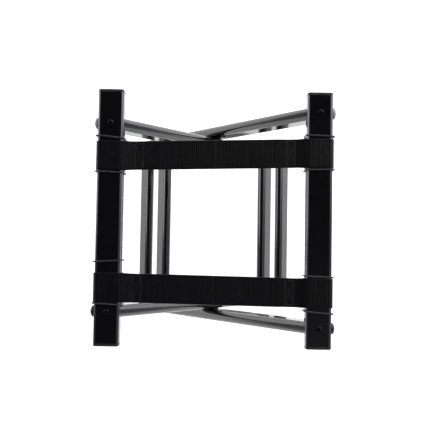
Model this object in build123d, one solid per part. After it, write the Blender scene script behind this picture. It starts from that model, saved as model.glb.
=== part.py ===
from build123d import *
import math
import os

os.makedirs("parts", exist_ok=True)

# ----------------------------------------------------------------------------
# Folding X-frame stand: two box-tube top rails carried by two nested leg frames
# that cross on a pair of pivot bolts, with two webbing straps between the rails.
# Millimetres, +Z up, +Y along the rails and the pivot axis, +X to the right.
# Origin on the floor under the middle of the stand.
#   outer frame: right rail (x > 0), legs run down to the left, set wide apart
#   inner frame: left rail (x < 0), legs run down to the right, nested inside
# ----------------------------------------------------------------------------

# top rails
RAIL_W, RAIL_H = 44.0, 30.0   # outside of the box tube, wide side up
RAIL_WALL = 1.5
RAIL_R = 5.0              # outer corner radius
RAIL_CX = 180.0           # rail centre to the middle plane
RAIL_TOP = 495.0          # top face above the floor
RAIL_LEN = 440.0          # over the end caps
CAP_HEAD = 5.0            # visible thickness of an end cap
CAP_SPIGOT = 20.0

# legs and crossbars, flat-oval tube: long side and short side
LEG_D, LEG_W = 50.0, 21.0
BAR_D, BAR_W = 38.0, 20.0
TUBE_T = 1.5
PIVOT_Z = 244.0
LEG_RUN = 180.0           # the leg's centreline passes this far out ...
LEG_RISE = 230.0          # ... at this height over the pivot
OUTER_LEG_Y = 185.2       # leg centre planes
INNER_LEG_Y = 161.6
LOWER_BAR_T = -256.0      # crossbar centres, along the leg from the pivot
UPPER_BAR_T = -184.0

# leg to rail
INSERT_T0 = 226.0         # lower end of the threaded insert, along the leg
SCREW_D = 6.0
SCREW_LEN = 45.0
SCREW_HEAD_D = 10.5
SCREW_HEAD_H = 3.3
SPACER_OD = 12.0

# bumpers on the outer side of the rails
BUMPER_D = 20.0
BUMPER_H = 7.2
BUMPER_STEM_D = 8.0

# feet
FOOT_PAD = 6.0
FOOT_LIP = 1.0
FOOT_SPIGOT = 26.0

# pivot
BOLT_D = 8.0
BOLT_LEN = 55.0
BOLT_HEAD_D = 16.0
SLEEVE_OD = 18.0
BUSH_OD = 12.0
RUN_CLEAR = 0.05          # radial running clearance of the bush on the bolt
WASHER_OD = 24.0
WASHER_T = 2.5
NUT_AF = 13.0
NUT_H = 8.0
NUT_WASHER_T = 1.6

# straps
STRAP_W = 50.0
STRAP_T = 2.0
STRAP_FIT = 0.05          # webbing round the rail
SPAN_END = 155.7          # outer end of a span half, clear of the loop
SPAN_MID_GAP = 0.25
TAIL_X0, TAIL_X1 = 117.0, 151.0
REAR_Y_LEFT, REAR_Y_RIGHT = 104.8, 114.0
FRONT_Y_LEFT, FRONT_Y_RIGHT = -120.4, -124.6

# rubber rings beside the strap ends: (name, y, turn in degrees)
RING_D = 2.6
RING_FIT = 0.05           # the rings hang on the rail's top face ...
RING_SIDE, RING_BELOW = 1.2, 1.3   # ... and stand off its sides and underside
LEFT_RINGS = [("rear_outer", 137.0, -5.5), ("rear_inner", 76.6, -2.0),
              ("front_inner", -75.4, 3.2), ("front_outer", -148.25, -3.1)]
RIGHT_RINGS = [("rear_outer", 144.5, -2.0), ("rear_inner", 86.2, 1.2),
               ("front_inner", -96.6, -2.4), ("front_outer", -157.5, -5.0)]

# ----------------------------------------------------------------------------
TH = math.atan2(LEG_RISE, LEG_RUN)
C, S = math.cos(TH), math.sin(TH)
RAIL_CZ = RAIL_TOP - RAIL_H / 2
RAIL_X0 = RAIL_CX - RAIL_W / 2
RAIL_X1 = RAIL_CX + RAIL_W / 2
RAIL_Z0 = RAIL_TOP - RAIL_H


def ext_y(sk, y0, y1):
    """Extrude a sketch drawn in (x, z) from y0 to y1."""
    pl = Plane(origin=(0, y1, 0), x_dir=(1, 0, 0), z_dir=(0, -1, 0))
    return extrude(pl * sk, amount=y1 - y0)


def cyl_y(x, z, d, y0, y1):
    return ext_y(Pos(x, z) * Circle(d / 2), y0, y1)


def cyl_z(x, y, d, z0, z1):
    return extrude(Pos(x, y, z0) * Circle(d / 2), amount=z1 - z0)


def along_leg(sk, t0, t1, y):
    """Extrude a sketch (x across the leg, y along Y) along the leg axis."""
    pl = Plane(origin=(t0 * C, y, PIVOT_Z + t0 * S), x_dir=(-S, 0, C), z_dir=(C, 0, S))
    return extrude(pl * sk, amount=t1 - t0)


def oval(off=0.0, d=LEG_D, w=LEG_W):
    return SlotOverall(d + 2 * off, w + 2 * off)


def rail_sketch(grow, r):
    """The rail's section, grown all round, in (x, z)."""
    return Pos(RAIL_CX, RAIL_CZ) * RectangleRounded(RAIL_W + 2 * grow, RAIL_H + 2 * grow, r)


def rail_notch(y, half):
    """Space taken by the rail and all that is above and outside it."""
    big = 400.0
    sk = Pos(RAIL_X0 + big / 2, RAIL_Z0 + big / 2) * RectangleRounded(big, big, RAIL_R)
    sk += Pos(RAIL_X1 + big / 2, RAIL_Z0) * Rectangle(big, big)
    return ext_y(sk, y - half, y + half)


def solid(shape):
    """The one solid of a shape that should be a single body."""
    s = shape.solids()
    assert len(s) == 1, len(s)
    return s[0]


def rail(leg_y):
    s = ext_y(rail_sketch(0, RAIL_R), -RAIL_LEN / 2 + CAP_HEAD, RAIL_LEN / 2 - CAP_HEAD)
    s -= ext_y(rail_sketch(-RAIL_WALL, RAIL_R - RAIL_WALL), -RAIL_LEN / 2, RAIL_LEN / 2)
    for y in (-leg_y, leg_y):
        s -= cyl_z(RAIL_CX, y, SCREW_D + 0.4, RAIL_Z0 - 1, RAIL_TOP + 1)
        s -= Pos(RAIL_X1, y, RAIL_CZ) * Rot(0, 90, 0) * Cylinder(BUMPER_STEM_D / 2, 6)
    return solid(s)


def end_cap(sign):
    """Moulded end cap: rounded head and a hollow spigot."""
    y_face = sign * (RAIL_LEN / 2 - CAP_HEAD)
    y_out = sign * RAIL_LEN / 2
    y_in = y_face - sign * CAP_SPIGOT
    head = ext_y(rail_sketch(0, RAIL_R), min(y_face, y_out), max(y_face, y_out))
    rim = [e for e in head.edges() if abs(e.center().Y - y_out) < 0.01]
    head = fillet(rim, 2.5)
    sp = ext_y(rail_sketch(-RAIL_WALL - 0.1, RAIL_R - RAIL_WALL), min(y_face, y_in), max(y_face, y_in))
    sp -= ext_y(rail_sketch(-RAIL_WALL - 2.6, 1.0), *sorted((y_face, y_in - sign * 1.0)))
    return solid(head + sp)


def leg(y, hole_d):
    s = along_leg(oval(), -340, 340, y) - along_leg(oval(-TUBE_T), -341, 341, y)
    s -= rail_notch(y, 30)
    s -= Pos(0, y, FOOT_PAD - 200) * Box(900, 60, 400)
    s -= cyl_y(0, PIVOT_Z, hole_d, y - 15, y + 15)
    return solid(s)


def leg_insert(y):
    """Threaded steel insert in the top end of a leg."""
    s = along_leg(oval(-TUBE_T - 0.1), INSERT_T0, 340, y)
    s -= rail_notch(y, 30)
    s -= cyl_z(RAIL_CX, y, SCREW_D + 0.1, RAIL_Z0 - 18, RAIL_Z0 + 5)
    return solid(s)


def foot(y):
    """Slanted foot: pad on the floor and a plug up the tube."""
    pad = along_leg(oval(FOOT_LIP), -345, -290, y)
    pad &= Pos(-LEG_RUN, y, FOOT_PAD / 2) * Box(160, 60, FOOT_PAD)
    plug = along_leg(oval(-TUBE_T - 0.1), -345, -PIVOT_Z / S + FOOT_SPIGOT + 8, y)
    plug -= Pos(0, y, FOOT_PAD / 2 - 200) * Box(900, 60, 400)
    return solid(pad + plug)


def crossbar(t, half):
    """Flat-oval crossbar with its flat faces parallel to the frame."""
    x, z = t * C, PIVOT_Z + t * S
    sk = Pos(x, z) * Rot(0, 0, math.degrees(TH))
    return solid(ext_y(sk * oval(0, BAR_D, BAR_W), -half, half)
                 - ext_y(sk * oval(-TUBE_T, BAR_D, BAR_W), -half - 1, half + 1))


def screw(y):
    """Button-head socket screw down through the rail into the leg insert."""
    s = cyl_z(RAIL_CX, y, SCREW_D, RAIL_TOP - SCREW_LEN, RAIL_TOP + 0.2)
    s = chamfer([e for e in s.edges() if e.center().Z < RAIL_TOP - SCREW_LEN + 0.1], 1.1)
    prof = Plane.XZ * make_face([
        Line((0, 0), (SCREW_HEAD_D / 2, 0)),
        Line((SCREW_HEAD_D / 2, 0), (SCREW_HEAD_D / 2, 0.6)),
        ThreePointArc((SCREW_HEAD_D / 2, 0.6), (SCREW_HEAD_D / 2 * 0.80, 2.35), (SCREW_HEAD_D / 2 * 0.50, SCREW_HEAD_H)),
        Line((SCREW_HEAD_D / 2 * 0.50, SCREW_HEAD_H), (0, SCREW_HEAD_H)),
        Line((0, SCREW_HEAD_H), (0, 0))])
    head = Pos(RAIL_CX, y, RAIL_TOP) * revolve(prof, Axis.Z)
    head -= Pos(RAIL_CX, y, RAIL_TOP + SCREW_HEAD_H - 2.1) * extrude(RegularPolygon(2.0, 6, major_radius=False), amount=3)
    return solid(s + head)


def spacer(y):
    """Steel sleeve inside the rail, so that the screw doesn't crush it."""
    z0, z1 = RAIL_Z0 + RAIL_WALL, RAIL_TOP - RAIL_WALL
    return solid(cyl_z(RAIL_CX, y, SPACER_OD, z0, z1) - cyl_z(RAIL_CX, y, SCREW_D + 0.4, z0 - 1, z1 + 1))


def bumper(y):
    """Domed bumper with a barbed stem pushed into the rail's outer side."""
    r, h = BUMPER_D / 2, BUMPER_H
    w = RAIL_WALL
    prof = Plane.XZ * make_face([
        Line((0, 0), (r, 0)),
        Line((r, 0), (r, 1.5)),
        Spline((r, 1.5), (r * 0.7071, 1.5 + (h - 1.5) * 0.7071), (0, h), tangents=((0, 1), (-1, 0))),
        Line((0, h), (0, 0))])
    dome = revolve(prof, Axis.Z)
    stem = Pos(0, 0, -w / 2) * Cylinder(BUMPER_STEM_D / 2, w)
    barb = Pos(0, 0, -w - 2.5) * Cone(BUMPER_STEM_D / 2 - 1.2, BUMPER_STEM_D / 2 + 0.8, 5.0)
    return solid(Pos(RAIL_X1, y, RAIL_CZ) * Rot(0, 90, 0) * (dome + stem + barb))


def ring(y, turn):
    """Round-section rubber ring hanging round the rail, slightly turned."""
    w = (RAIL_W + RING_D + 2 * RING_SIDE) / math.cos(math.radians(turn))
    h = RAIL_H + RING_D + RING_FIT + RING_BELOW
    rr = 3.5 + RING_D / 2
    pl = Plane(origin=(RAIL_CX, y, RAIL_CZ + (RING_FIT - RING_BELOW) / 2), x_dir=(1, 0, 0), z_dir=(0, -1, 0)).rotated((0, 0, turn))
    path = pl * RectangleRounded(w, h, rr).wire()
    start = path @ 0
    sec = Plane(origin=start, z_dir=path % 0) * Circle(RING_D / 2)
    return solid(sweep(sec, path=path))


def strap_loop(y):
    """The strap end, sewn round the rail."""
    o = ext_y(rail_sketch(STRAP_T, RAIL_R + STRAP_T), y - STRAP_W / 2, y + STRAP_W / 2)
    i = ext_y(rail_sketch(STRAP_FIT, RAIL_R + STRAP_FIT), y - STRAP_W, y + STRAP_W)
    return solid(o - i)


def strap_span(y_mid, y_end):
    """Half of the strap between the rails, with the tail sewn under it."""
    def yc(x):
        return y_mid + (y_end - y_mid) * x / RAIL_CX

    def plate(x0, x1, z0, z1):
        pts = [(x0, yc(x0) - STRAP_W / 2), (x1, yc(x1) - STRAP_W / 2),
               (x1, yc(x1) + STRAP_W / 2), (x0, yc(x0) + STRAP_W / 2)]
        return extrude(Pos(0, 0, z0) * Polygon(*pts, align=None), amount=z1 - z0)
    return solid(plate(SPAN_MID_GAP, SPAN_END, RAIL_TOP, RAIL_TOP + STRAP_T)
                 + plate(TAIL_X0, TAIL_X1, RAIL_TOP - STRAP_T, RAIL_TOP))


def left(shape):
    """Mirror a right-hand piece to the left-hand side."""
    return shape.mirror(Plane.YZ)


nodes = {}

# ---- outer frame, with the right rail --------------------------------------
y = OUTER_LEG_Y
nodes["right_rail"] = rail(y)
nodes["right_rail_rear_cap"] = end_cap(1)
nodes["right_rail_front_cap"] = end_cap(-1)
nodes["outer_rear_leg"] = leg(y, SLEEVE_OD)
nodes["outer_front_leg"] = leg(-y, SLEEVE_OD)
nodes["outer_rear_leg_insert"] = leg_insert(y)
nodes["outer_front_leg_insert"] = leg_insert(-y)
nodes["outer_rear_foot"] = foot(y)
nodes["outer_front_foot"] = foot(-y)
nodes["outer_lower_crossbar"] = crossbar(LOWER_BAR_T, y - LEG_W / 2)
nodes["outer_upper_crossbar"] = crossbar(UPPER_BAR_T, y - LEG_W / 2)
nodes["right_rail_screws"] = Compound([screw(y), screw(-y)])
nodes["right_rail_spacers"] = Compound([spacer(y), spacer(-y)])
nodes["right_rear_bumper"] = bumper(y)
nodes["right_front_bumper"] = bumper(-y)
for name, ry, turn in RIGHT_RINGS:
    nodes["right_%s_ring" % name] = ring(ry, turn)

# ---- inner frame, with the left rail (modelled right-handed, then mirrored) -
y = INNER_LEG_Y
nodes["left_rail"] = left(rail(y))
nodes["left_rail_rear_cap"] = left(end_cap(1))
nodes["left_rail_front_cap"] = left(end_cap(-1))
nodes["inner_rear_leg"] = left(leg(y, BUSH_OD))
nodes["inner_front_leg"] = left(leg(-y, BUSH_OD))
nodes["inner_rear_leg_insert"] = left(leg_insert(y))
nodes["inner_front_leg_insert"] = left(leg_insert(-y))
nodes["inner_rear_foot"] = left(foot(y))
nodes["inner_front_foot"] = left(foot(-y))
nodes["inner_lower_crossbar"] = left(crossbar(LOWER_BAR_T, y - LEG_W / 2))
nodes["inner_upper_crossbar"] = left(crossbar(UPPER_BAR_T, y - LEG_W / 2))
nodes["left_rail_screws"] = Compound([left(screw(y)), left(screw(-y))])
nodes["left_rail_spacers"] = Compound([left(spacer(y)), left(spacer(-y))])
nodes["left_rear_bumper"] = left(bumper(y))
nodes["left_front_bumper"] = left(bumper(-y))
for name, ry, turn in LEFT_RINGS:
    nodes["left_%s_ring" % name] = left(ring(ry, -turn))

# ---- pivots -----------------------------------------------------------------
# From the outside in: countersunk bolt, sleeve through the outer leg, washer
# between the legs, bush through the inner leg, washer and lock nut.
for side, sg in (("rear", 1), ("front", -1)):
    def cy(d, a, b):
        lo, hi = sorted((sg * a, sg * b))
        return cyl_y(0, PIVOT_Z, d, lo, hi)

    o_out, o_in = OUTER_LEG_Y + LEG_W / 2, OUTER_LEG_Y - LEG_W / 2
    i_out, i_in = INNER_LEG_Y + LEG_W / 2, INNER_LEG_Y - LEG_W / 2
    cone_h = (BOLT_HEAD_D - BOLT_D) / 2

    def csk(extra, top):
        """Countersink cone under a short cylindrical land."""
        r0, r1 = BOLT_D / 2 + extra, BOLT_HEAD_D / 2 + extra
        land = 0.4
        c = Cone(r0, r1, cone_h)
        c = Pos(0, 0, -land - cone_h / 2) * c + Pos(0, 0, (top - land) / 2) * Cylinder(r1, land + top)
        return Pos(0, sg * o_out, PIVOT_Z) * Rot(-90 * sg, 0, 0) * c

    sleeve = cy(SLEEVE_OD, o_in, o_out) - cy(BOLT_D + 0.1, o_in - 1, o_out + 1) - csk(0.05, 1.0)
    nodes["%s_pivot_sleeve" % side] = solid(sleeve)
    bolt = cy(BOLT_D, o_out - BOLT_LEN, o_out - 0.5) + csk(0.0, 0.0)
    hexs = ext_y(Pos(0, PIVOT_Z) * RegularPolygon(2.5, 6, major_radius=False),
                 *sorted((sg * (o_out - 2.8), sg * (o_out + 1.0))))
    nodes["%s_pivot_bolt" % side] = solid(bolt - hexs)
    nodes["%s_pivot_washer" % side] = solid(cy(WASHER_OD, o_in - WASHER_T, o_in) - cy(BOLT_D + 0.2, o_in - 5, o_in + 1))
    nodes["%s_pivot_bush" % side] = solid(cy(BUSH_OD, i_in, i_out) - cy(BOLT_D + 2 * RUN_CLEAR, i_in - 1, i_out + 1))
    nw1 = i_in - 0.1
    nw0 = nw1 - NUT_WASHER_T
    nodes["%s_pivot_nut_washer" % side] = solid(cy(16.0, nw0, nw1) - cy(BOLT_D + 0.2, nw0 - 1, nw1 + 1))
    n0 = nw0 - NUT_H
    hexn = ext_y(Pos(0, PIVOT_Z) * RegularPolygon(NUT_AF / 2, 6, major_radius=False), *sorted((sg * n0, sg * nw0)))
    nodes["%s_pivot_nut" % side] = solid(hexn - cy(BOLT_D + 0.1, n0 - 1, nw0 + 1))

# ---- straps -----------------------------------------------------------------
REAR_MID = (REAR_Y_LEFT + REAR_Y_RIGHT) / 2
FRONT_MID = (FRONT_Y_LEFT + FRONT_Y_RIGHT) / 2
nodes["rear_strap_right_loop"] = strap_loop(REAR_Y_RIGHT)
nodes["front_strap_right_loop"] = strap_loop(FRONT_Y_RIGHT)
nodes["rear_strap_left_loop"] = left(strap_loop(REAR_Y_LEFT))
nodes["front_strap_left_loop"] = left(strap_loop(FRONT_Y_LEFT))
nodes["rear_strap_right_span"] = strap_span(REAR_MID, REAR_Y_RIGHT)
nodes["front_strap_right_span"] = strap_span(FRONT_MID, FRONT_Y_RIGHT)
nodes["rear_strap_left_span"] = left(strap_span(REAR_MID, REAR_Y_LEFT))
nodes["front_strap_left_span"] = left(strap_span(FRONT_MID, FRONT_Y_LEFT))

for name, shape in nodes.items():
    export_step(shape, "parts/%s.step" % name)
print(len(nodes), "nodes")
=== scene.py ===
import bpy
import bmesh
import math
import random
from mathutils import Matrix, Vector


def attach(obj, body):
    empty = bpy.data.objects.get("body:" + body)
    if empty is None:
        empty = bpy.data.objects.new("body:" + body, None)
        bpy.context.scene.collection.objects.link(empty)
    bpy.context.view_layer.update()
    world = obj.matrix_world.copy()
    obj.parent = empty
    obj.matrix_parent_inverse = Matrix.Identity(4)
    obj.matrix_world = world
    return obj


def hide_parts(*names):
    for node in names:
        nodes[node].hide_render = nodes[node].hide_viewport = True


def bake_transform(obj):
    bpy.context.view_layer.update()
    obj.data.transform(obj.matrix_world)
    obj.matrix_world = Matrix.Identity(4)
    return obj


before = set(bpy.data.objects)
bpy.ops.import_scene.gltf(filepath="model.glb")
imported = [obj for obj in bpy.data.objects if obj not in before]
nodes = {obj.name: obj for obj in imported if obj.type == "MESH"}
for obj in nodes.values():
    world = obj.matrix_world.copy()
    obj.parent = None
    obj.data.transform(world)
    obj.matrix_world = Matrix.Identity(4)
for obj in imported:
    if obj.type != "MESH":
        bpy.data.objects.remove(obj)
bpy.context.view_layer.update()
MM = 0.001

# ----------------------------------------------------------------------------
# Camera, from above, nearly over the middle of the stand.
# ----------------------------------------------------------------------------
CX, CY, CZ = -0.500, -49.359, 495.0 + 1191.177
RX, RY, RZ = -0.0461, 0.0017, -0.0162
FOCAL = 700.0 / 430.0 * 36.0


def rot3(rx, ry, rz):
    return (Matrix.Rotation(rz, 3, "Z") @ Matrix.Rotation(rx, 3, "X") @ Matrix.Rotation(ry, 3, "Y"))


cam_data = bpy.data.cameras.new("camera")
cam_data.sensor_width = 36.0
cam_data.sensor_fit = "HORIZONTAL"
cam_data.lens = FOCAL
cam_data.dof.use_dof = False
cam_data.clip_start, cam_data.clip_end = 0.02, 60.0
cam = bpy.data.objects.new("camera", cam_data)
bpy.context.scene.collection.objects.link(cam)
cam.matrix_world = Matrix.Translation(Vector((CX, CY, CZ)) * MM) @ rot3(RX, RY, RZ).transposed().to_4x4()
bpy.context.scene.camera = cam
bpy.context.scene.view_settings.view_transform = "Standard"


# ----------------------------------------------------------------------------
# Materials
# ----------------------------------------------------------------------------
class Mat:
    """A material with a Principled shader and short ways to add texture nodes."""

    def __init__(self, name):
        self.m = bpy.data.materials.new(name)
        self.m.use_nodes = True
        self.nt = self.m.node_tree
        self.nt.nodes.clear()
        self.out = self.nt.nodes.new("ShaderNodeOutputMaterial")
        self.b = self.nt.nodes.new("ShaderNodeBsdfPrincipled")
        self.nt.links.new(self.b.outputs[0], self.out.inputs[0])
        self.height = None

    def link(self, a, b):
        self.nt.links.new(a, b)

    def coords(self, scale=(1, 1, 1), kind="Object", rotation=(0, 0, 0)):
        tc = self.nt.nodes.new("ShaderNodeTexCoord")
        mp = self.nt.nodes.new("ShaderNodeMapping")
        mp.inputs["Scale"].default_value = scale
        mp.inputs["Rotation"].default_value = rotation
        self.link(tc.outputs[kind], mp.inputs["Vector"])
        return mp.outputs[0]

    def noise(self, scale, detail=2.0, rough=0.5, vec=None, distortion=0.0):
        n = self.nt.nodes.new("ShaderNodeTexNoise")
        n.inputs["Scale"].default_value = scale
        n.inputs["Detail"].default_value = detail
        n.inputs["Roughness"].default_value = rough
        n.inputs["Distortion"].default_value = distortion
        self.link(vec if vec is not None else self.coords(), n.inputs["Vector"])
        return n.outputs["Fac"]

    def voronoi(self, scale, vec=None):
        n = self.nt.nodes.new("ShaderNodeTexVoronoi")
        n.inputs["Scale"].default_value = scale
        self.link(vec if vec is not None else self.coords(), n.inputs["Vector"])
        return n.outputs["Distance"]

    def wave(self, scale, direction="X", distortion=0.0, vec=None, detail=0.0):
        n = self.nt.nodes.new("ShaderNodeTexWave")
        n.wave_type = "BANDS"
        n.bands_direction = direction
        n.inputs["Scale"].default_value = scale
        n.inputs["Distortion"].default_value = distortion
        n.inputs["Detail"].default_value = detail
        self.link(vec, n.inputs["Vector"])
        return n.outputs["Fac"]

    def ramp(self, fac, lo, hi, a=0.0, b=1.0):
        """Maps fac from a..b to lo..hi, clamped."""
        n = self.nt.nodes.new("ShaderNodeMapRange")
        n.inputs["From Min"].default_value = a
        n.inputs["From Max"].default_value = b
        n.inputs["To Min"].default_value = lo
        n.inputs["To Max"].default_value = hi
        self.link(fac, n.inputs["Value"])
        return n.outputs[0]

    def mix(self, fac, c0, c1):
        n = self.nt.nodes.new("ShaderNodeMix")
        n.data_type = "RGBA"
        for sock, c in ((n.inputs[6], c0), (n.inputs[7], c1)):
            if isinstance(c, tuple):
                sock.default_value = (*c, 1.0)
            else:
                self.link(c, sock)
        self.link(fac, n.inputs[0])
        return n.outputs[2]

    def math(self, op, a, b):
        n = self.nt.nodes.new("ShaderNodeMath")
        n.operation = op
        for sock, v in ((n.inputs[0], a), (n.inputs[1], b)):
            if isinstance(v, (int, float)):
                sock.default_value = v
            else:
                self.link(v, sock)
        return n.outputs[0]

    def bump(self, height, distance, strength=1.0):
        n = self.nt.nodes.new("ShaderNodeBump")
        n.inputs["Distance"].default_value = distance
        n.inputs["Strength"].default_value = strength
        self.link(height, n.inputs["Height"])
        if self.height is not None:
            self.link(self.height, n.inputs["Normal"])
        self.height = n.outputs[0]
        self.link(self.height, self.b.inputs["Normal"])

    def set(self, **kw):
        for k, v in kw.items():
            self.b.inputs[k.replace("_", " ")].default_value = v

    def color(self, out):
        self.link(out, self.b.inputs["Base Color"])

    def rough(self, out):
        self.link(out, self.b.inputs["Roughness"])


def paint(name, axis):
    """Semi-gloss black powder coat: fine orange peel, faint rub marks along the tube."""
    k = Mat(name)
    k.set(IOR=1.8, Metallic=0.0)
    cloud = k.noise(14.0, 3.0, 0.55)
    peel = k.noise(620.0, 2.0, 0.5)
    stretch = {"X": (0.6, 22, 22), "Y": (22, 0.6, 22), "L": (22, 22, 0.6)}[axis]
    rubs = k.noise(26.0, 4.0, 0.65, vec=k.coords(stretch))
    rubs = k.ramp(rubs, 0.0, 1.0, 0.60, 0.74)
    base = k.mix(k.ramp(cloud, 0, 1, 0.3, 0.7), (0.0019, 0.0018, 0.0025), (0.0032, 0.0030, 0.0040))
    base = k.mix(k.math("MULTIPLY", rubs, 0.30), base, (0.0105, 0.0102, 0.0112))
    k.color(base)
    r = k.ramp(k.noise(48.0, 3.0, 0.6), 0.085, 0.135, 0.3, 0.7)
    r = k.math("ADD", r, k.math("MULTIPLY", rubs, 0.07))
    k.rough(r)
    k.bump(k.noise(90.0, 1.0, 0.4), 0.00006, 0.25)
    k.bump(peel, 0.000015, 0.5)
    return k.m


def plastic(name, c0, c1, r0, r1, grain=1500.0, depth=0.00006):
    k = Mat(name)
    k.set(IOR=1.40)
    k.color(k.mix(k.ramp(k.noise(30.0, 3.0, 0.6), 0, 1, 0.3, 0.7), c0, c1))
    k.rough(k.ramp(k.noise(160.0, 2.0, 0.5), r0, r1, 0.3, 0.7))
    k.bump(k.voronoi(grain), depth, 0.5)
    k.bump(k.noise(260.0, 2.0, 0.5), 0.00005, 0.4)
    return k.m


def rubber(name, c0, c1, r0, r1):
    k = Mat(name)
    k.set(IOR=1.5)
    k.b.inputs["Specular IOR Level"].default_value = 0.34
    k.color(k.mix(k.ramp(k.noise(110.0, 4.0, 0.65), 0, 1, 0.35, 0.65), c0, c1))
    k.rough(k.ramp(k.noise(75.0, 3.0, 0.6), r0, r1, 0.3, 0.7))
    k.bump(k.noise(1400.0, 2.0, 0.6), 0.00003, 0.5)
    return k.m


def steel(name, c0, c1, r0, r1):
    """Plated or blackened steel with faint turning marks and spots."""
    k = Mat(name)
    k.set(Metallic=1.0)
    spots = k.ramp(k.noise(420.0, 4.0, 0.65), 0, 1, 0.42, 0.66)
    k.color(k.mix(spots, c0, c1))
    k.rough(k.ramp(k.noise(300.0, 3.0, 0.6), r0, r1, 0.3, 0.7))
    k.bump(k.noise(60.0, 6.0, 0.7, vec=k.coords((1, 24, 1))), 0.00003, 0.5)
    return k.m


def oxide(name):
    """Black oxide over steel, oiled: dark, with the odd rubbed spot."""
    k = Mat(name)
    k.set(IOR=1.45, Metallic=0.0)
    k.b.inputs["Specular IOR Level"].default_value = 0.13
    rub = k.ramp(k.noise(900.0, 3.0, 0.6), 0, 1, 0.55, 0.72)
    k.color(k.mix(rub, (0.0015, 0.0015, 0.0020), (0.0060, 0.0058, 0.0056)))
    k.rough(k.ramp(k.noise(420.0, 3.0, 0.6), 0.24, 0.34, 0.3, 0.7))
    k.bump(k.noise(1800.0, 2.0, 0.5), 0.00001, 0.5)
    return k.m


def webbing(name):
    """Black polypropylene webbing. U runs along the strap and V across it, in metres."""
    k = Mat(name)
    k.set(IOR=1.47)
    k.b.inputs["Specular IOR Level"].default_value = 0.27
    uv = k.coords(kind="UV")
    ends = k.wave(0.31416 / 0.00135, "Y", 0.0, uv)          # warp ends side by side across the width
    turns = k.wave(0.31416 / 0.00110, "X", 0.6, uv)         # the picks that bind them
    fuzz = k.noise(2600.0, 3.0, 0.7)
    worn = k.noise(34.0, 4.0, 0.6)
    base = k.mix(ends, (0.0003, 0.0002, 0.0006), (0.0009, 0.0007, 0.0015))
    base = k.mix(k.math("MULTIPLY", k.ramp(worn, 0, 1, 0.45, 0.7), 0.4), base, (0.0018, 0.0015, 0.0024))
    k.color(base)
    k.rough(k.ramp(k.noise(200.0, 2.0, 0.6), 0.29, 0.38, 0.3, 0.7))
    k.bump(ends, 0.00010, 0.5)
    k.bump(k.math("MULTIPLY", ends, turns), 0.00006, 0.5)
    k.bump(fuzz, 0.00002, 0.4)
    return k.m


def thread(name):
    k = Mat(name)
    k.set(IOR=1.5)
    tw = k.wave(260.0, "DIAGONAL", 0.0, k.coords())
    k.color(k.mix(tw, (0.0015, 0.0015, 0.0020), (0.0060, 0.0060, 0.0072)))
    k.rough(k.ramp(k.noise(900.0, 2.0, 0.5), 0.46, 0.60, 0.3, 0.7))
    k.bump(tw, 0.00008, 0.6)
    return k.m


M_RAIL = paint("coat_rail", "Y")
M_BAR = paint("coat_crossbar", "Y")
M_LEG = paint("coat_leg", "L")
M_WELD = paint("coat_weld", "Y")
M_CAP = plastic("cap_plastic", (0.017, 0.017, 0.019), (0.027, 0.027, 0.029), 0.34, 0.44)
M_FOOT = plastic("foot_plastic", (0.012, 0.012, 0.013), (0.020, 0.020, 0.021), 0.42, 0.55, 1100.0)
M_RING = rubber("ring_rubber", (0.017, 0.017, 0.019), (0.034, 0.034, 0.037), 0.30, 0.42)
M_BUMPER = rubber("bumper_rubber", (0.004, 0.004, 0.0045), (0.009, 0.009, 0.010), 0.30, 0.42)
# Lighter grey copy of the bumper rubber for the rear bumpers only: painted light, the rear bumpers made paler to stand
# for the light they catch.
M_BUMPER_PAINTED_LIGHT = rubber("bumper_rubber_painted_light", (0.24, 0.25, 0.27), (0.32, 0.33, 0.36), 0.34, 0.46)
M_NYLON = plastic("nylon", (0.030, 0.030, 0.032), (0.050, 0.050, 0.052), 0.35, 0.45)
M_SCREW = oxide("black_screw")
M_ZINC = steel("zinc", (0.52, 0.53, 0.55), (0.66, 0.66, 0.65), 0.22, 0.36)
M_WEB = webbing("webbing")
M_THREAD = thread("thread")


def material_of(n):
    if "ring" in n and "strap" not in n:
        return M_RING
    # The rear bumpers take the paler copy of the rubber: painted light.
    if n.endswith("rear_bumper"):
        return M_BUMPER_PAINTED_LIGHT
    if "bumper" in n:
        return M_BUMPER
    if "foot" in n:
        return M_FOOT
    if n.endswith("cap"):
        return M_CAP
    if "bush" in n or n.endswith("pivot_washer"):
        return M_NYLON
    if n.endswith("screws"):
        return M_SCREW
    if any(w in n for w in ("insert", "spacer", "sleeve", "bolt", "nut")):
        return M_ZINC
    if "strap" in n:
        return M_WEB
    if "leg" in n:
        return M_LEG
    if "crossbar" in n:
        return M_BAR
    return M_RAIL


for n, o in nodes.items():
    o.data.materials.clear()
    o.data.materials.append(material_of(n))
    for p in o.data.polygons:
        p.material_index = 0


# ----------------------------------------------------------------------------
# Geometry helpers
# ----------------------------------------------------------------------------
def mesh_object(name, verts, faces, material, uvs=None, smooth=True):
    me = bpy.data.meshes.new(name)
    me.from_pydata(verts, [], faces)
    me.update()
    if uvs is not None:
        layer = me.uv_layers.new(name="UVMap")
        for loop in me.loops:
            layer.data[loop.index].uv = uvs[loop.vertex_index]
    bm = bmesh.new()
    bm.from_mesh(me)
    bmesh.ops.recalc_face_normals(bm, faces=bm.faces)
    bm.to_mesh(me)
    bm.free()
    for p in me.polygons:
        p.use_smooth = smooth
    me.materials.append(material)
    o = bpy.data.objects.new(name, me)
    bpy.context.scene.collection.objects.link(o)
    return o


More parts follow.
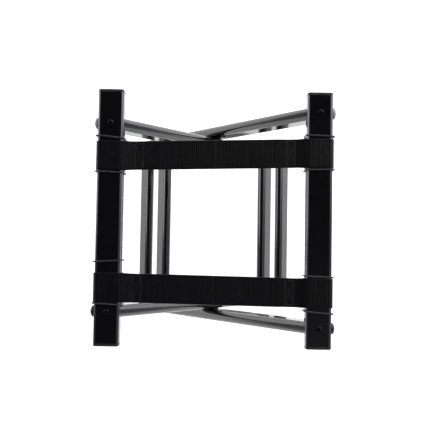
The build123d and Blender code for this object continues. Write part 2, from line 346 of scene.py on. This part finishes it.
def rounded(points, radii):
    """Polyline with each inner corner replaced by an arc of the given radius."""
    out = [Vector(points[0])]
    for i in range(1, len(points) - 1):
        p, a, b = Vector(points[i]), Vector(points[i - 1]), Vector(points[i + 1])
        u, v = (a - p).normalized(), (b - p).normalized()
        turn = math.pi - u.angle(v)
        r = radii[i - 1]
        if turn < 1e-4 or r <= 0:
            out.append(p)
            continue
        t = r * math.tan(turn / 2)
        s, e = p + u * t, p + v * t
        bis = (u + v).normalized()
        c = p + bis * (r / math.cos(turn / 2))
        n = max(3, int(math.degrees(turn) / 4))
        a0 = math.atan2((s - c).y, (s - c).x)
        a1 = math.atan2((e - c).y, (e - c).x)
        d = (a1 - a0 + math.pi) % (2 * math.pi) - math.pi
        for k in range(n + 1):
            w = a0 + d * k / n
            out.append(c + Vector((math.cos(w), math.sin(w))) * r)
    out.append(Vector(points[-1]))
    return out


def resample(pts, step):
    lens = [0.0]
    for a, b in zip(pts, pts[1:]):
        lens.append(lens[-1] + (b - a).length)
    total = lens[-1]
    n = max(2, int(round(total / step)))
    out, j = [], 0
    for i in range(n + 1):
        s = total * i / n
        while j < len(lens) - 2 and lens[j + 1] < s:
            j += 1
        f = (s - lens[j]) / max(lens[j + 1] - lens[j], 1e-9)
        out.append((s, pts[j].lerp(pts[j + 1], min(max(f, 0.0), 1.0))))
    return out, total


def smoothstep(x, a, b):
    t = min(max((x - a) / (b - a), 0.0), 1.0)
    return t * t * (3 - 2 * t)


# ----------------------------------------------------------------------------
# Straps. Each half of a strap is one length of webbing: the tail sewn under the
# strap, then round the rail, then over its top and out to the middle.
# ----------------------------------------------------------------------------
RAIL_X0, RAIL_X1, RAIL_Z0, RAIL_Z1, RAIL_R = 158.0, 202.0, 465.0, 495.0, 5.0
THICK = 1.9
OFF = THICK / 2 + 0.12
RIB = 3.3
DROP = 3.4
SEW0, SEW1 = 121.0, 138.5
MID_Z = RAIL_Z1 + OFF - DROP
SAG = 0.9
STRAPS = {
    "rear": {1: (114.0, "right"), -1: (104.8, "left")},
    "front": {1: (-124.6, "right"), -1: (-120.4, "left")},
}


def strap_half(name, y_end, y_mid, side, seed):
    rnd = random.Random(seed)
    tail_z = MID_Z - THICK - 0.12
    pts = [(117.0, tail_z - 0.15), (138.0, tail_z), (150.0, tail_z + 1.5), (RAIL_X0 - OFF, tail_z + 0.6),
           (RAIL_X0 - OFF, RAIL_Z0 - OFF), (RAIL_X1 + OFF, RAIL_Z0 - OFF), (RAIL_X1 + OFF, RAIL_Z1 + OFF),
           (RAIL_X0 + 3.4, RAIL_Z1 + OFF), (SEW1 + 0.5, MID_Z), (60.0, MID_Z - SAG * 0.8), (0.0, MID_Z - SAG)]
    rr = RAIL_R + OFF
    path = rounded(pts, [60.0, 14.0, 3.2, rr, rr, rr, 26.0, 40.0, 400.0])
    rows, total = resample(path, RIB / 6.0)
    half_w = 25.0
    cols = [-1.0, -0.997, -0.985, -0.96, -0.915, -0.85, -0.7, -0.5, -0.25, 0.0]
    cols = cols + [-c for c in cols[-2::-1]]
    nv = len(cols)
    ring = [(c, 1) for c in cols] + [(c, -1) for c in cols[-2:0:-1]]
    nr = len(ring)
    ribs = {}
    verts, uvs = [], []
    m = len(rows)
    for i, (s, p) in enumerate(rows):
        a = rows[max(i - 1, 0)][1]
        b = rows[min(i + 1, m - 1)][1]
        d = (b - a).normalized()
        out = Vector((d.y, -d.x))
        # measured from the middle of the strap, so that the ribs of both halves meet there
        u = total - s
        k = int(u // RIB)
        if k not in ribs:
            ribs[k] = (rnd.uniform(0.85, 1.15), rnd.uniform(-0.10, 0.10))
        amp, skew = ribs[k]
        rib = abs(math.sin(math.pi * u / RIB)) ** 0.7 * 0.36 * amp
        on_rail = smoothstep(p.x, 141.0, 158.0)
        w = half_w * (0.996 + 0.010 * on_rail)
        if p.x < RAIL_X0:
            yc = y_mid + (y_end - y_mid) * p.x / RAIL_X0
        else:
            yc = y_end
        # the box seam draws the edges in a little
        w -= 0.35 * smoothstep(p.x, SEW0 - 12, SEW0) * (1 - smoothstep(p.x, SEW1, SEW1 + 12))
        for c, sgn in ring:
            v = c * w
            e = (abs(v) - (w - 1.1)) / 1.1
            h = THICK / 2 * math.sqrt(max(0.0, 1 - max(e, 0.0) ** 2))
            edge = 1.0 - 0.75 * smoothstep(abs(v), w - 2.6, w - 0.8)
            bead = 0.16 * smoothstep(abs(v), w - 2.6, w - 1.6) * (1 if e < 1 else 0)
            off = sgn * (h + ((rib - 0.22) * edge + bead * 0.4 - 0.02) * (1 if h > 0.05 else 0))
            q = p + out * off
            verts.append(((side * q.x) * MM, (yc + v + skew * 0.2) * MM, q.y * MM))
            uvs.append((u * MM, v * MM))
    faces = []
    for i in range(m - 1):
        for j in range(nr):
            j2 = (j + 1) % nr
            faces.append((i * nr + j, i * nr + j2, (i + 1) * nr + j2, (i + 1) * nr + j))
    for base in (0, (m - 1) * nr):
        # caps as strips between the upper and lower rows
        top = [base + j for j in range(nv)]
        bot = [base + (nr - j) % nr for j in range(nv)]
        bot[nv - 1] = top[nv - 1]
        for j in range(nv - 1):
            f = [top[j], top[j + 1], bot[j + 1], bot[j]]
            g = []
            for x in f:
                if x not in g:
                    g.append(x)
            if len(g) > 2:
                faces.append(tuple(g))
    o = mesh_object(name, verts, faces, M_WEB, uvs)
    return o, total


def top_z(x):
    """Height of the upper layer's middle surface over x, left of the rail."""
    if x >= SEW1:
        return MID_Z + DROP * (x - SEW1) / (RAIL_X0 + 3.4 - SEW1)
    return MID_Z - SAG * 0.8 * (SEW1 - x) / (SEW1 - 60.0)


def stitches(name, y_end, y_mid, side, seed):
    """Box seam with a cross in it, above and below."""
    rnd = random.Random(seed)
    x0, x1, half = SEW0 + 0.8, SEW1 - 0.8, 20.5
    lines = [((x0, -half), (x1, -half)), ((x1, -half), (x1, half)), ((x1, half), (x0, half)), ((x0, half), (x0, -half)),
             ((x0, -half), (x1, half)), ((x0, half), (x1, -half)),
             ((x0 + 1.7, half), (x0 + 1.7, -half)), ((x1 - 1.7, -half), (x1 - 1.7, half))]
    verts, faces = [], []
    for (ax, ay), (bx, by) in lines:
        length = math.hypot(bx - ax, by - ay)
        n = int(length / 3.3)
        for i in range(n):
            f0 = (i + 0.10) / n
            f1 = (i + 0.90) / n
            for upper in (True, False):
                p0 = Vector((ax + (bx - ax) * f0, ay + (by - ay) * f0))
                p1 = Vector((ax + (bx - ax) * f1, ay + (by - ay) * f1))
                d = (p1 - p0).normalized()
                side_v = Vector((-d.y, d.x))
                jit = rnd.uniform(-0.10, 0.10)
                start = len(verts)
                rings = [(0.0, 0.06, -0.30), (0.12, 0.26, -0.02), (0.5, 0.34, 0.12), (0.88, 0.26, -0.02), (1.0, 0.06, -0.30)]
                for f, r, lift in rings:
                    c = p0.lerp(p1, f) + side_v * jit
                    yc = y_mid + (y_end - y_mid) * c.x / RAIL_X0 + c.y
                    if upper:
                        z = top_z(c.x) + THICK / 2 + lift
                    else:
                        z = top_z(c.x) - THICK * 1.5 - 0.14 - lift
                    for k in range(6):
                        w = math.pi * 2 * k / 6
                        q = side_v * (math.cos(w) * r)
                        verts.append((side * (c.x + q.x) * MM, (yc + q.y) * MM, (z + math.sin(w) * r) * MM))
                nrr = len(rings)
                for a in range(nrr - 1):
                    for k in range(6):
                        k2 = (k + 1) % 6
                        faces.append((start + a * 6 + k, start + a * 6 + k2, start + (a + 1) * 6 + k2, start + (a + 1) * 6 + k))
                faces.append(tuple(start + k for k in range(6)))
                faces.append(tuple(start + (nrr - 1) * 6 + k for k in range(6)))
    return mesh_object(name, verts, faces, M_THREAD)


for which, ends in STRAPS.items():
    y_mid = (ends[1][0] + ends[-1][0]) / 2
    for side, (y_end, word) in ends.items():
        body = "outer_frame" if side == 1 else "inner_frame"
        halves = "right_strap_halves" if side == 1 else "left_strap_halves"
        seed = {"rear": 11, "front": 23}[which] + side
        o, total = strap_half("%s_%s_strap" % (which, word), y_end, y_mid, side, seed)
        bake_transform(o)
        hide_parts("%s_strap_%s_loop" % (which, word), "%s_strap_%s_span" % (which, word))
        st = stitches("%s_%s_strap_stitching" % (which, word), y_end, y_mid, side, seed + 100)
        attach(st, halves)

# ----------------------------------------------------------------------------
# Weld beads round the crossbar ends
# ----------------------------------------------------------------------------
TH = math.atan2(230.0, 180.0)
C, S = math.cos(TH), math.sin(TH)
PIVOT_Z = 244.0


def bead(name, t, y_face, sg, side, seed):
    """sg is the Y side, side is +1 for the outer frame and -1 for the inner."""
    rnd = random.Random(seed)
    xc, zc = t * C, PIVOT_Z + t * S
    hl, r = 9.0, 10.0
    per = 4 * hl + 2 * math.pi * r
    n, k = 150, 9
    verts = []
    wob = [rnd.uniform(-1, 1) for _ in range(12)]
    for i in range(n):
        s = per * i / n
        if s < 2 * hl:
            a, b, na, nb = -hl + s, r, 0.0, 1.0
        elif s < 2 * hl + math.pi * r:
            w = math.pi / 2 - (s - 2 * hl) / r
            a, b, na, nb = hl + r * math.cos(w), r * math.sin(w), math.cos(w), math.sin(w)
        elif s < 4 * hl + math.pi * r:
            q = s - 2 * hl - math.pi * r
            a, b, na, nb = hl - q, -r, 0.0, -1.0
        else:
            w = -math.pi / 2 - (s - 4 * hl - math.pi * r) / r
            a, b, na, nb = -hl + r * math.cos(w), r * math.sin(w), math.cos(w), math.sin(w)
        slow = sum(wob[j] * math.sin(2 * math.pi * (j % 4 + 1) * s / per + j) for j in range(12)) * 0.05
        rad = 1.75 + 0.16 * abs(math.sin(math.pi * s / 2.3)) + slow
        for j in range(k):
            w = 2 * math.pi * j / k
            o = math.cos(w) * rad + 0.25
            dy = math.sin(w) * rad * 0.85
            aa, bb = a + na * o, b + nb * o
            verts.append((side * (xc + aa * C - bb * S) * MM, sg * (y_face - 0.35 + min(dy, 0.0) + max(dy, 0) * 0.15) * MM, (zc + aa * S + bb * C) * MM))
    faces = []
    for i in range(n):
        i2 = (i + 1) % n
        for j in range(k):
            j2 = (j + 1) % k
            faces.append((i * k + j, i2 * k + j, i2 * k + j2, i * k + j2))
    return mesh_object(name, verts, faces, M_WELD)


for fname, y_face, side, body in (("outer", 174.7, 1, "outer_frame"), ("inner", 151.1, -1, "inner_frame")):
    for bar, t in (("lower", -256.0), ("upper", -184.0)):
        for end, sg in (("rear", 1), ("front", -1)):
            o = bead("%s_%s_%s_weld" % (fname, bar, end), t, y_face, sg, side, int(abs(t)) + sg + side * 5)
            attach(o, body)


# ----------------------------------------------------------------------------
# Floor and light
# ----------------------------------------------------------------------------
def area(name, loc, target, size, size_y, energy, color=(1, 1, 1)):
    d = bpy.data.lights.new(name, "AREA")
    d.shape = "RECTANGLE"
    d.size, d.size_y = size, size_y
    d.energy = energy
    d.color = color
    o = bpy.data.objects.new(name, d)
    bpy.context.scene.collection.objects.link(o)
    o.location = loc
    o.rotation_euler = (Vector(target) - Vector(loc)).to_track_quat("-Z", "Y").to_euler()
    return o


bm = bmesh.new()
bmesh.ops.create_circle(bm, cap_ends=True, segments=180, radius=12.0)
fme = bpy.data.meshes.new("floor")
bm.to_mesh(fme)
bm.free()
floor = bpy.data.objects.new("floor", fme)
bpy.context.scene.collection.objects.link(floor)
floor.location = (0, 0, -0.0006)
kf = Mat("floor_white")
reach = kf.nt.nodes.new("ShaderNodeVectorMath")
reach.operation = "DISTANCE"
reach.inputs[1].default_value = (0.0, 0.6, 0.0)
kf.link(kf.coords(), reach.inputs[0])
lit = kf.ramp(reach.outputs["Value"], 0.0, 1.0, 2.40, 1.50)      # the lit patch of the floor fades out
near = kf.mix(kf.noise(1.2, 2.0, 0.5), (0.86, 0.86, 0.865), (0.885, 0.885, 0.885))
kf.color(kf.mix(lit, (0.46, 0.46, 0.465), near))
kf.rough(kf.ramp(kf.noise(9.0, 2.0, 0.5), 0.72, 0.80, 0.3, 0.7))
kf.link(kf.mix(lit, (0.15, 0.15, 0.15), (1.0, 1.0, 1.0)), kf.b.inputs["Emission Color"])
kf.b.inputs["Emission Strength"].default_value = 0.82
fme.materials.append(kf.m)

world = bpy.data.worlds.new("studio")
bpy.context.scene.world = world
world.use_nodes = True
wn = world.node_tree
wn.nodes.clear()
wo = wn.nodes.new("ShaderNodeOutputWorld")
wb = wn.nodes.new("ShaderNodeBackground")
wt = wn.nodes.new("ShaderNodeTexCoord")
ws = wn.nodes.new("ShaderNodeSeparateXYZ")
wn.links.new(wt.outputs["Generated"], ws.inputs[0])


def sky(value, a, b, lo, hi):
    n = wn.nodes.new("ShaderNodeMapRange")
    n.interpolation_type = "SMOOTHSTEP"
    n.inputs["From Min"].default_value, n.inputs["From Max"].default_value = a, b
    n.inputs["To Min"].default_value, n.inputs["To Max"].default_value = lo, hi
    wn.links.new(value, n.inputs["Value"])
    return n.outputs[0]


def sky_math(op, a, b):
    n = wn.nodes.new("ShaderNodeMath")
    n.operation = op
    for sock, v in ((n.inputs[0], a), (n.inputs[1], b)):
        if isinstance(v, (int, float)):
            sock.default_value = v
        else:
            wn.links.new(v, sock)
    return n.outputs[0]


# dark overhead; a tall soft box on the right, lower ones behind, in front and on the left
to_rear = sky(ws.outputs["Y"], 0.01, 0.22, 0.0, 1.0)
light = sky_math("MULTIPLY", sky(ws.outputs["X"], 0.22, 0.52, 0.0, 1.0), sky_math("ADD", sky_math("MULTIPLY", to_rear, 1.7), 0.38))
left_box = sky_math("MULTIPLY", sky(ws.outputs["X"], -0.30, -0.90, 0.0, 1.0), sky_math("ADD", sky_math("MULTIPLY", to_rear, 0.45), 0.36))
light = sky_math("ADD", light, left_box)
light = sky_math("ADD", light, sky(ws.outputs["Y"], 0.35, 0.90, 0.0, 0.75))
light = sky_math("ADD", light, sky(ws.outputs["Y"], -0.40, -0.95, 0.0, 0.45))
diag = sky_math("ADD", sky_math("MULTIPLY", ws.outputs["X"], 0.55), sky_math("MULTIPLY", ws.outputs["Y"], -0.75))
light = sky_math("ADD", light, sky(diag, 0.06, 0.24, 0.0, 0.10))
light = sky_math("ADD", light, 0.022)
wn.links.new(light, wb.inputs["Strength"])
wb.inputs["Color"].default_value = (0.955, 0.965, 1.0, 1)
wn.links.new(wb.outputs[0], wo.inputs[0])

area("key_right", (2.1, 1.5, 1.25), (0, 0, 0.3), 1.4, 1.6, 34.0)
area("fill_left", (-2.4, 0.6, 1.1), (0, 0, 0.25), 1.2, 1.4, 14.0)
area("back", (0.2, 2.6, 1.2), (0, 0, 0.3), 2.0, 1.0, 20.0)
